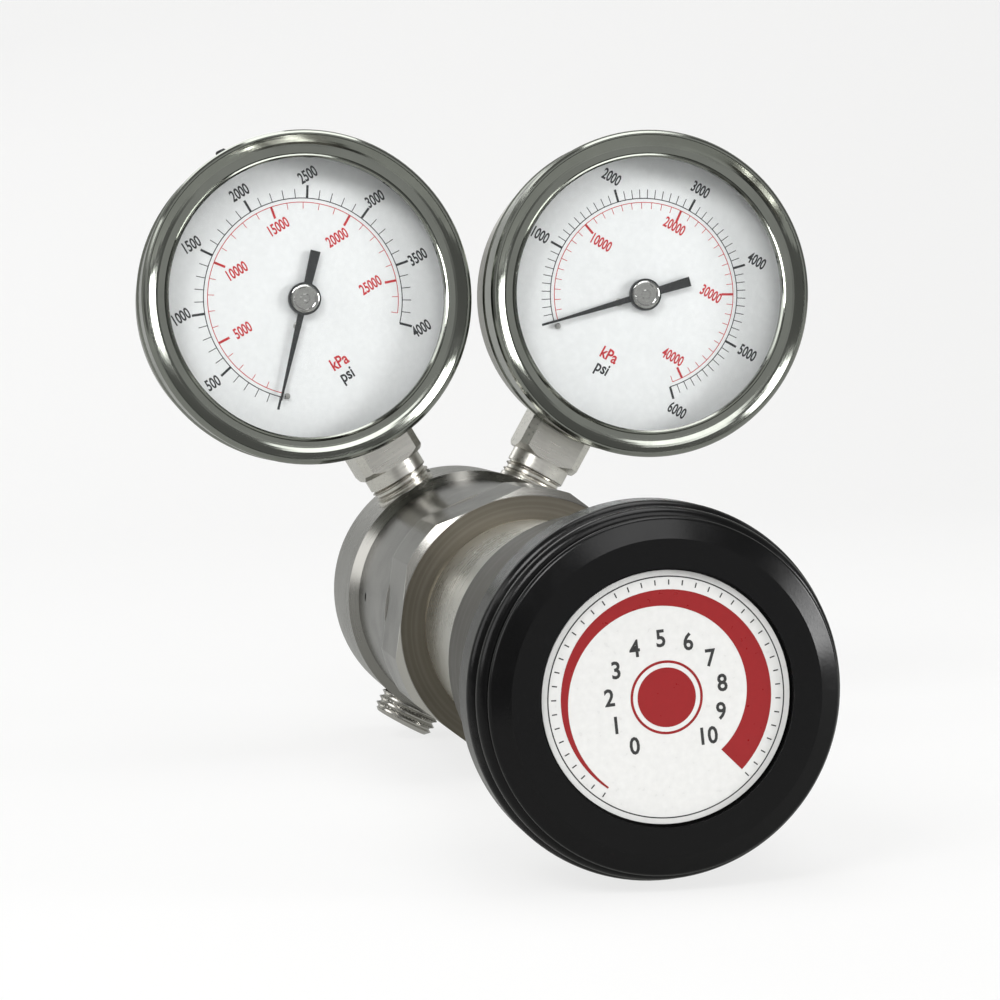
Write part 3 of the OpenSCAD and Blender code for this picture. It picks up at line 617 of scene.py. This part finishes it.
def bars(count, sweep, start, inner, outer, width, height=0.04):
    """Thin bars between two radii in mm, spaced evenly clockwise from start over sweep degrees."""
    deselect()
    bpy.ops.mesh.primitive_plane_add(size=1, location=(0, 0, 0))
    piece = bpy.context.object
    bpy.ops.object.mode_set(mode="EDIT")
    bpy.ops.transform.resize(value=(width * MM, (outer - inner) * MM, 1))
    bpy.ops.transform.translate(value=(0, (inner + outer) / 2 * MM, -0.02 * MM))
    bpy.ops.mesh.extrude_region_move(TRANSFORM_OT_translate={"value": (0, 0, height * MM)})
    bpy.ops.mesh.select_all(action="SELECT")
    bpy.ops.mesh.normals_make_consistent(inside=False)
    if count > 1:
        bpy.ops.mesh.spin(
            steps=count - 1,
            dupli=True,
            angle=math.radians(sweep),
            center=(0, 0, 0),
            axis=(0, 0, 1),
        )
    bpy.ops.object.mode_set(mode="OBJECT")
    piece.matrix_world = Matrix.Rotation(math.radians(start), 4, "Z")
    pick(piece)
    bpy.ops.object.transform_apply(location=True, rotation=True, scale=True)
    return piece


def arc(inner, outer, start, sweep, steps=120, height=0.04):
    """A thin printed band between two radii in mm, clockwise from start over sweep degrees."""
    piece = chain([(inner, -0.02), (outer, -0.02), (outer, height - 0.02), (inner, height - 0.02), (inner, -0.02)])
    bpy.ops.mesh.select_all(action="SELECT")
    bpy.ops.mesh.remove_doubles(threshold=1e-7)
    bpy.ops.mesh.spin(steps=steps, angle=math.radians(sweep), center=(0, 0, 0), axis=(0, 0, 1))
    bpy.ops.mesh.select_all(action="SELECT")
    bpy.ops.mesh.fill_holes(sides=4)
    tidy_faces()
    bpy.ops.object.mode_set(mode="OBJECT")
    piece.matrix_world = Matrix.Rotation(math.radians(start + 90), 4, "Z")
    pick(piece)
    bpy.ops.object.transform_apply(location=True, rotation=True, scale=True)
    return piece


def lettering(words, x, y, height, width=1.0, turn=0.0, bold=0.034):
    """Plain numerals or signs, centred at x and y in mm, as a thin closed mesh."""
    deselect()
    bpy.ops.object.text_add(location=(0, 0, -0.02 * MM))
    piece = bpy.context.object
    piece.data.body = words
    piece.data.align_x = "CENTER"
    piece.data.align_y = "CENTER"
    piece.data.size = height * MM / 0.73
    piece.data.extrude = 0.02 * MM
    piece.data.offset = bold * height * MM
    piece.data.resolution_u = 3
    bpy.ops.object.convert(target="MESH")
    piece = bpy.context.object
    piece.matrix_world = (
        Matrix.Translation((x * MM, y * MM, 0))
        @ Matrix.Rotation(math.radians(turn), 4, "Z")
        @ Matrix.Diagonal((width, 1, 1, 1))
    )
    bpy.ops.object.transform_apply(location=True, rotation=True, scale=True)
    return piece


def finish(piece, body, material):
    """Puts the last touches on a new piece: its material and the body it rides on."""
    piece.data.materials.clear()
    piece.data.materials.append(material)
    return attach(piece, body)


# --------------------------------------------------------------- operators


class REGULATOR_OT_stage(bpy.types.Operator):
    """Camera at the photograph's angle, soft studio lamps and a pale floor"""

    bl_idname = "regulator.stage"
    bl_label = "Stage"

    def execute(self, context):
        self.camera(context)
        self.lamps(context)
        self.floor()
        context.scene.view_settings.view_transform = "Standard"
        return {"FINISHED"}

    def camera(self, context):
        lens = bpy.data.cameras.new("camera")
        lens.sensor_width = 36.0
        lens.lens = 93.15
        lens.clip_start = 0.01
        view = bpy.data.objects.new("camera", lens)
        right = Vector((0.98144, -0.19051, -0.02186))
        up = Vector((0.03337, 0.05746, 0.99779))
        forward = Vector((0.18883, 0.98000, -0.06275))
        turn = Matrix((right, up, -forward)).transposed().to_4x4()
        view.matrix_world = Matrix.Translation((-0.09877, -0.569, 0.05551)) @ turn
        context.collection.objects.link(view)
        context.scene.camera = view

    def lamps(self, context):
        for name, place, size, power in (
            ("key", (-0.55, -0.75, 0.75), 0.4, 5.6),
            ("left", (-0.95, -0.15, 0.4), 0.6, 2.6),
            ("right", (0.95, -0.55, 0.2), 0.35, 7.0),
            ("front", (0.3, -1.6, 0.1), 1.4, 2.0),
            ("above", (0.15, -1.2, 0.9), 0.7, 4.8),
            ("top", (0.05, -0.05, 0.95), 0.6, 3.4),
            ("rear", (-0.3, 0.8, 0.6), 0.6, 2.0),
        ):
            lamp = bpy.data.lights.new(name, "AREA")
            lamp.size = size
            lamp.energy = power
            holder = bpy.data.objects.new(name, lamp)
            aim = Vector((0, -0.08, 0.03)) - Vector(place)
            holder.matrix_world = Matrix.Translation(place) @ aim.to_track_quat("-Z", "Y").to_matrix().to_4x4()
            context.collection.objects.link(holder)
        world = bpy.data.worlds.new("studio")
        world.use_nodes = True
        nodes, links = world.node_tree.nodes, world.node_tree.links
        ground = nodes["Background"]
        ground.inputs[0].default_value = (0.62, 0.62, 0.61, 1)
        ground.inputs[1].default_value = 0.3
        seen = nodes.new("ShaderNodeBackground")
        seen.inputs[0].default_value = (0.9, 0.9, 0.9, 1)
        mix = nodes.new("ShaderNodeMixShader")
        links.new(nodes.new("ShaderNodeLightPath").outputs["Is Camera Ray"], mix.inputs[0])
        links.new(ground.outputs[0], mix.inputs[1])
        links.new(seen.outputs[0], mix.inputs[2])
        links.new(mix.outputs[0], nodes["World Output"].inputs[0])
        context.scene.world = world

    def floor(self):
        low = CAD_BOX[0].z
        deselect()
        bpy.ops.mesh.primitive_plane_add(size=1, location=(0, 0, 0))
        sweep = bpy.context.object
        bpy.ops.object.mode_set(mode="EDIT")
        bpy.ops.transform.resize(value=(5, 0.92, 1))
        bpy.ops.transform.translate(value=(0, 0.14, low - 0.0005))
        bpy.ops.mesh.select_all(action="DESELECT")
        bpy.ops.object.mode_set(mode="OBJECT")
        for edge in sweep.data.edges:
            ends = [sweep.data.vertices[v].co.y for v in edge.vertices]
            edge.select = min(ends) > 0.5
        bpy.ops.object.mode_set(mode="EDIT")
        bpy.ops.mesh.select_mode(type="EDGE")
        rise = 12
        reach = 0.6
        for index in range(rise):
            a, b = (math.pi / 2 * k / rise for k in (index, index + 1))
            bpy.ops.mesh.extrude_edges_move(
                TRANSFORM_OT_translate={
                    "value": (0, reach * (math.sin(b) - math.sin(a)), reach * (math.cos(a) - math.cos(b)))
                }
            )
        bpy.ops.mesh.extrude_edges_move(TRANSFORM_OT_translate={"value": (0, 0, 2.2)})
        bpy.ops.object.mode_set(mode="OBJECT")
        settle(sweep, Matrix(), "floor", 60)
        sweep.data.materials.append(self.paper())

    def paper(self):
        """Pale paper: its own shade in the lamps, near white to the camera and grey where metal mirrors it."""
        paint = Paint("paper")
        fibre = paint.noise(paint.place(), 30.0, 3.0)
        paint.set(Base_Color=(0.9, 0.9, 0.9, 1), Roughness=(0.85 + (fibre - 0.5) * 0.1).clamped())
        path = paint.node("ShaderNodeLightPath").outputs
        mirrored = Value(paint, path["Is Glossy Ray"])
        seen = Value(paint, path["Is Camera Ray"]).most(Value(paint, path["Is Transmission Ray"])).most(mirrored)
        light = paint.blend(mirrored, (0.955, 0.955, 0.95), (0.4, 0.405, 0.385))
        glow = paint.node("ShaderNodeEmission", None, {0: light, 1: 1.0})
        mix = paint.node(
            "ShaderNodeMixShader", None, {0: seen * 0.8, 1: paint.shader.outputs[0], 2: glow.outputs[0]}
        )
        paint.tree.links.new(mix.outputs[0], paint.out.inputs[0])
        return paint.material


class REGULATOR_OT_finishes(bpy.types.Operator):
    """Finishes of the pieces that keep their solid shape"""

    bl_idname = "regulator.finishes"
    bl_label = "Finishes"

    def execute(self, context):
        look = context.scene.regulator_finish
        dial = context.scene.regulator_dial
        axis = axis_matrix()
        steel = tuple(look.steel)
        plain = {
            "regulator_body": turned_metal("body_steel", shade(steel, 0.72), 0.26, axis),
            "bonnet": bonnet_metal("bonnet_steel", steel, axis),
            "knob_skirt": turned_metal("skirt_steel", (0.10, 0.093, 0.082), 0.4, axis),
            "knob": moulded("knob_black", tuple(look.knob), 0.22, axis, 0.15, 28.0, 29.8, 0.24),
            "knob_label": printed("label_white", (0.69, 0.69, 0.675), 0.3, 0.2),
            "inlet_filter": turned_metal("filter_bronze", (0.42, 0.32, 0.18), 0.7, port_matrix(150)),
        }
        small = turned_metal("small_steel", shade(steel, 1.05), 0.3, axis)
        wire = turned_metal("spring_steel", shade(steel, 0.45), 0.4, axis)
        seat = turned_metal("seat_steel", shade(steel, 0.55), 0.45, axis)
        brass = turned_metal("bushing_brass", tuple(look.brass), 0.35, axis)
        rubber = moulded("black_rubber", (0.02, 0.02, 0.021), 0.55, axis)
        polymer = printed("seal_polymer", (0.8, 0.78, 0.7), 0.4)
        for material, names in (
            (small, ("poppet", "seat_retainer", "piston", "thrust_ball", "adjusting_screw", "knob_nut", "knob_screws")),
            (small, ("outlet_nipple",)),
            (wire, ("load_spring", "valve_spring")),
            (seat, ("lower_spring_seat", "upper_spring_button")),
            (brass, ("screw_bushing",)),
            (rubber, ("bonnet_seal", "piston_seal")),
            (polymer, ("valve_seat", "piston_backup_ring")),
        ):
            plain.update({name: material for name in names})
        for side in SIDES:
            face = gauge_matrix(side)
            stem = stem_matrix(side)
            movement = turned_metal(f"{side}_movement_brass", tuple(look.brass), 0.35, face)
            rim = moulded(f"{side}_rubber", (0.015, 0.015, 0.016), 0.5, face)
            plain.update(
                {
                    f"{side}_socket": milled_metal(f"{side}_stem_steel", shade(steel, 1.85), 0.3, stem),
                    f"{side}_case": turned_metal(f"{side}_case_steel", shade(steel, 1.0), 0.3, face),
                    f"{side}_bezel": polished_metal(f"{side}_bezel_steel", (0.33, 0.345, 0.31), 0.1, face),
                    f"{side}_dial": printed(f"{side}_dial_white", tuple(dial.white), 0.5),
                    f"{side}_pointer": printed(f"{side}_pointer_black", (0.012, 0.012, 0.013), 0.35),
                    f"{side}_window": clear_glass(),
                    f"{side}_gasket": rim,
                    f"{side}_case_plug": rim,
                    f"{side}_movement_screws": small,
                    f"{side}_bourdon_tube": turned_metal(f"{side}_tube_bronze", shade(look.brass, 0.8), 0.4, face),
                }
            )
            for part in ("arbor", "hairspring", "sector", "link", "back_plate", "front_plate"):
                plain[f"{side}_{part}"] = movement
        for name, node in NODES.items():
            node.data.materials.clear()
            node.data.materials.append(plain[name])
        return {"FINISHED"}


class REGULATOR_OT_dials(bpy.types.Operator):
    """Scales and numerals printed on the dials, with the dial screws and stop pins"""

    bl_idname = "regulator.dials"
    bl_label = "Dial prints"

    SWEEP = 270.0
    ZERO = 135.0
    KILOPASCALS = 6.894757
    SCALES = {
        "left": dict(top=4000, major=500, minor=100, red_top=27000, red_major=5000, red_minor=1000, ring=20.9),
        "right": dict(top=6000, major=1000, minor=100, red_top=41000, red_major=10000, red_minor=1000, ring=20.4),
    }

    def execute(self, context):
        dial = context.scene.regulator_dial
        black = printed("dial_black_print", tuple(dial.black))
        red = printed("dial_red_print", tuple(dial.red))
        steel = turned_metal("dial_screw_steel", (0.5, 0.5, 0.48), 0.3, None)
        for side, scale in self.SCALES.items():
            place = gauge_matrix(side)
            outer = self.outer_scale(scale, dial)
            finish(settle(outer, place, f"{side}_dial_black_print", 0), "regulator", black)
            inner = self.inner_scale(scale, dial)
            finish(settle(inner, place, f"{side}_dial_red_print", 0), "regulator", red)
            fixings = self.fixings(scale)
            finish(settle(fixings, place, f"{side}_dial_fixings"), "regulator", steel)
        return {"FINISHED"}

    def outer_scale(self, scale, dial):
        ring, top = scale["ring"], scale["top"]
        marks = [
            arc(ring - 0.1, ring + 0.1, self.ZERO, self.SWEEP),
            bars(top // scale["minor"] + 1, self.SWEEP, self.ZERO, ring, ring + 1.9, 0.17),
            bars(top // scale["major"] + 1, self.SWEEP, self.ZERO, ring, ring + 2.7, 0.5),
        ]
        for value in range(scale["major"], top + 1, scale["major"]):
            angle = math.radians(self.ZERO - self.SWEEP * value / top)
            reach = 25.4 + 0.5 * abs(math.sin(angle))
            marks.append(
                lettering(
                    str(value), -math.sin(angle) * reach, math.cos(angle) * reach, dial.digit_height, dial.digit_width
                )
            )
        marks.append(lettering("psi", -0.5, -18.1, dial.digit_height * 1.05, 0.8))
        return join(marks)

    def inner_scale(self, scale, dial):
        ring = scale["ring"] - 0.85
        per_unit = self.SWEEP / (scale["top"] * self.KILOPASCALS)
        minors = scale["red_top"] // scale["red_minor"]
        majors = scale["red_top"] // scale["red_major"]
        marks = [
            arc(ring - 0.08, ring + 0.08, self.ZERO, minors * scale["red_minor"] * per_unit),
            bars(minors + 1, minors * scale["red_minor"] * per_unit, self.ZERO, ring - 1.35, ring, 0.14),
        ]
        first = self.ZERO - scale["red_major"] * per_unit
        marks.append(bars(majors, (majors - 1) * scale["red_major"] * per_unit, first, ring - 2.5, ring, 0.5))
        for index in range(1, majors + 1):
            value = index * scale["red_major"]
            angle = math.radians(self.ZERO - value * per_unit)
            reach = 16.0 - 1.6 * abs(math.sin(angle))
            marks.append(
                lettering(
                    str(value),
                    -math.sin(angle) * reach,
                    math.cos(angle) * reach,
                    dial.digit_height * 0.95,
                    dial.digit_width,
                )
            )
        marks.append(lettering("kPa", -0.5, -15.0, dial.digit_height * 1.05, 0.8))
        return join(marks)

    def fixings(self, scale):
        """Two small screws at 45 degrees and the pin that stops the pointer at zero."""
        heads = []
        for turn in (45, 225):
            head = lathe([(0, 0.45), (0.55, 0.42), (0.85, 0.2), (0.9, -0.02), (0, -0.02)], 24)
            head.matrix_world = Matrix.Rotation(math.radians(turn), 4, "Z") @ Matrix.Translation((5.8 * MM, 0, 0))
            pick(head)
            bpy.ops.object.transform_apply(location=True, rotation=True, scale=True)
            heads.append(head)
        pin = lathe([(0, 0.95), (0.45, 0.9), (0.6, 0.75), (0.6, -0.02), (0, -0.02)], 24)
        pin.matrix_world = Matrix.Rotation(math.radians(self.ZERO + 3.2), 4, "Z") @ Matrix.Translation(
            (0, (scale["ring"] - 0.4) * MM, 0)
        )
        pick(pin)
        bpy.ops.object.transform_apply(location=True, rotation=True, scale=True)
        return join([*heads, pin])


class REGULATOR_OT_hubs(bpy.types.Operator):
    """Ringed caps on the pointers' hubs"""

    bl_idname = "regulator.hubs"
    bl_label = "Pointer hubs"

    def execute(self, context):
        for side in SIDES:
            place = gauge_matrix(side)
            cap = lathe(
                [
                    (0, 1.3), (2.95, 1.3), (2.95, 1.62), (2.7, 1.75), (2.35, 1.75), (2.2, 1.66),
                    (1.0, 1.66), (0.9, 1.74), (0.55, 1.74), (0.3, 1.68), (0, 1.66),
                ],
                64,
            )
            steel = turned_metal(f"{side}_hub_steel", (0.56, 0.56, 0.54), 0.16, place, 2500.0)
            finish(settle(cap, place, f"{side}_hub_cap"), f"{side}_pointer", steel)
        return {"FINISHED"}


class REGULATOR_OT_label(bpy.types.Operator):
    """Plain print of the knob's label: a scale of numerals beside a band that widens as they rise"""

    bl_idname = "regulator.label"
    bl_label = "Label print"

    SWEEP = 280.0
    START = 140.0
    TURN = 5.0

    def execute(self, context):
        red = printed("label_red", tuple(context.scene.regulator_finish.label_red), 0.3, 0.2)
        black = printed("label_black", (0.03, 0.03, 0.03), 0.3, 0.2)
        place = axis_matrix(LABEL_STATION) @ Matrix.Rotation(math.radians(self.TURN), 4, "Z")
        shapes = [self.swelling_band(), lathe([(0, 0.02), (4.6, 0.02), (4.6, -0.02), (0, -0.02)], 64)]
        shapes.append(arc(5.3, 5.7, 180, 360, 96))
        finish(settle(join(shapes), place, "label_red_print", 0), "knob", red)
        rings = [arc(18.5, 18.7, 180, 360, 160), bars(41, self.SWEEP, self.START, 17.3, 18.1, 0.2)]
        for value in range(11):
            angle = math.radians(self.START - self.SWEEP * value / 10)
            x, y = -math.sin(angle) * 9.0, math.cos(angle) * 9.0
            rings.append(lettering(str(value), x, y, 2.7, 0.9, bold=0.03))
        finish(settle(join(rings), place, "label_black_print", 0), "knob", black)
        return {"FINISHED"}

    def swelling_band(self):
        """A band that starts thin and swells clockwise along the scale."""
        steps = 90
        band = arc(16.2, 16.6, self.START, self.SWEEP, steps)
        for vertex in band.data.vertices:
            x, y, _ = vertex.co
            radius = math.hypot(x, y)
            if radius < 16.4 * MM:
                share = ((self.START + 5 - math.degrees(math.atan2(-x, y))) % 360 - 5) / self.SWEEP
                swell = 0.3 + 4.3 * max(0.0, min(share, 1.0))
                vertex.co.x *= (16.6 - swell) * MM / radius
                vertex.co.y *= (16.6 - swell) * MM / radius
        return band


class REGULATOR_OT_threads(bpy.types.Operator):
    """Cut threads of the outlet nipple, the gauge stems, the inlet and the mounting holes"""

    bl_idname = "regulator.threads"
    bl_label = "Threads"

    def execute(self, context):
        thread = context.scene.regulator_thread
        self.nipple(thread)
        for side in SIDES:
            self.stem(thread, side)
        self.inner_thread(thread, "inlet_thread", port_matrix(150), INLET_R, 13.2, 25.8, thread.pitch)
        for index, x in enumerate((-MOUNT_SPACING / 2, MOUNT_SPACING / 2)):
            self.inner_thread(
                thread, f"mounting_thread_{index}", axis_matrix(0, x), MOUNT_HOLE_R, 0.3, MOUNT_HOLE_DEPTH - 0.5, 1.0
            )
        return {"FINISHED"}

    def nipple(self, thread):
        end = NIPPLE_END_R
        shape = lathe(
            [
                (NIPPLE_BORE_R, PORT_FLOOR_R + 1), (STEM_R, PORT_FLOOR_R + 1), (STEM_R, BODY_R - 1.2),
                (PIPE_R, BODY_R - 1.0), (PIPE_R, end - 1.1), (PIPE_R - 1.1, end), (NIPPLE_BORE_R + 0.5, end),
                (NIPPLE_BORE_R, end - 0.5), (NIPPLE_BORE_R, PORT_FLOOR_R + 1),
            ]
        )
        screw = helix(PIPE_R - thread.depth, PIPE_R + 0.01, thread.pitch, PORT_FLOOR_R + 0.5, end + 0.5, thread.steps)
        shape = carve(shape, screw, "INTERSECT")
        metal = turned_metal("nipple_steel", (0.6, 0.59, 0.56), 0.25, port_matrix(-150))
        finish(settle(shape, port_matrix(-150), "threaded_nipple"), "regulator", metal)
        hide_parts("outlet_nipple")

    def stem(self, thread, side):
        root = STEM_R - 0.62
        sleeve = lathe(
            [
                (root, BODY_R - 1.0), (STEM_R, BODY_R - 1.0), (STEM_R, COLLAR_R - 0.1),
                (root, COLLAR_R - 0.1), (root, BODY_R - 1.0),
            ]
        )
        screw = helix(root - 0.15, STEM_R + 0.01, thread.pitch, BODY_R - 2, COLLAR_R + 1, thread.steps)
        sleeve = carve(sleeve, screw, "INTERSECT")
        metal = turned_metal(f"{side}_thread_steel", (0.58, 0.56, 0.52), 0.25, stem_matrix(side))
        finish(settle(sleeve, stem_matrix(side), f"{side}_stem_thread"), "regulator", metal)

    def inner_thread(self, thread, name, place, radius, low, high, pitch):
        depth = 0.54 * pitch
        wall = lathe(
            [
                (radius - 0.01, low), (radius - 0.01, high), (radius - depth, high),
                (radius - depth, low), (radius - 0.01, low),
            ],
            64,
        )
        screw = helix(radius - depth - 0.05, radius - 0.03, pitch, low - 1, high + 1, thread.steps)
        wall = carve(wall, screw, "DIFFERENCE")
        metal = turned_metal(f"{name}_steel", (0.4, 0.4, 0.38), 0.35, place)
        finish(settle(wall, place, name), "regulator", metal)


class REGULATOR_OT_tape(bpy.types.Operator):
    """Ragged end of white sealing tape at the foot of the left stem"""

    bl_idname = "regulator.tape"
    bl_label = "Sealing tape"

    def execute(self, context):
        place = stem_matrix("left")
        band = chain([(6.62, 26.9), (6.75, 27.4), (6.62, 28.0)])
        bpy.ops.mesh.select_all(action="SELECT")
        bpy.ops.mesh.spin(steps=40, angle=math.radians(150), center=(0, 0, 0), axis=(0, 0, 1))
        tidy_faces()
        bpy.ops.object.mode_set(mode="OBJECT")
        pick(band)
        rag = bpy.data.textures.new("tape_edge", "CLOUDS")
        rag.noise_scale = 1.6 * MM
        ruffle = band.modifiers.new("ruffle", "DISPLACE")
        ruffle.texture = rag
        ruffle.texture_coords = "LOCAL"
        ruffle.strength = 0.5 * MM
        ruffle.mid_level = 0.5
        bpy.ops.object.modifier_apply(modifier="ruffle")
        wall = band.modifiers.new("wall", "SOLIDIFY")
        wall.thickness = 0.08 * MM
        bpy.ops.object.modifier_apply(modifier="wall")
        film = printed("tape_white", (0.82, 0.84, 0.84), 0.45)
        turn = Matrix.Rotation(math.radians(150), 4, "Z")
        finish(settle(band, place @ turn, "sealing_tape", 40), "regulator", film)
        return {"FINISHED"}


class REGULATOR_PT_panel(bpy.types.Panel):
    """Lists the operators that dress the regulator"""

    bl_idname = "REGULATOR_PT_panel"
    bl_label = "Regulator"
    bl_space_type = "VIEW_3D"
    bl_region_type = "UI"
    bl_category = "Regulator"

    def draw(self, context):
        for operator in STEPS:
            self.layout.operator(operator.bl_idname)
        for settings in ("regulator_dial", "regulator_thread", "regulator_finish"):
            group = getattr(context.scene, settings)
            for name in group.__annotations__:
                self.layout.prop(group, name)


STEPS = (
    REGULATOR_OT_stage,
    REGULATOR_OT_finishes,
    REGULATOR_OT_dials,
    REGULATOR_OT_hubs,
    REGULATOR_OT_label,
    REGULATOR_OT_threads,
    REGULATOR_OT_tape,
)
CLASSES = (DialSettings, ThreadSettings, FinishSettings, *STEPS, REGULATOR_PT_panel)


def register():
    for kind in CLASSES:
        bpy.utils.register_class(kind)
    bpy.types.Scene.regulator_dial = PointerProperty(type=DialSettings)
    bpy.types.Scene.regulator_thread = PointerProperty(type=ThreadSettings)
    bpy.types.Scene.regulator_finish = PointerProperty(type=FinishSettings)


def unregister():
    for name in ("regulator_dial", "regulator_thread", "regulator_finish"):
        delattr(bpy.types.Scene, name)
    for kind in reversed(CLASSES):
        bpy.utils.unregister_class(kind)


def main():
    register()
    for operator in STEPS:
        group, name = operator.bl_idname.split(".")
        getattr(getattr(bpy.ops, group), name)()


if __name__ == "__main__":
    main()
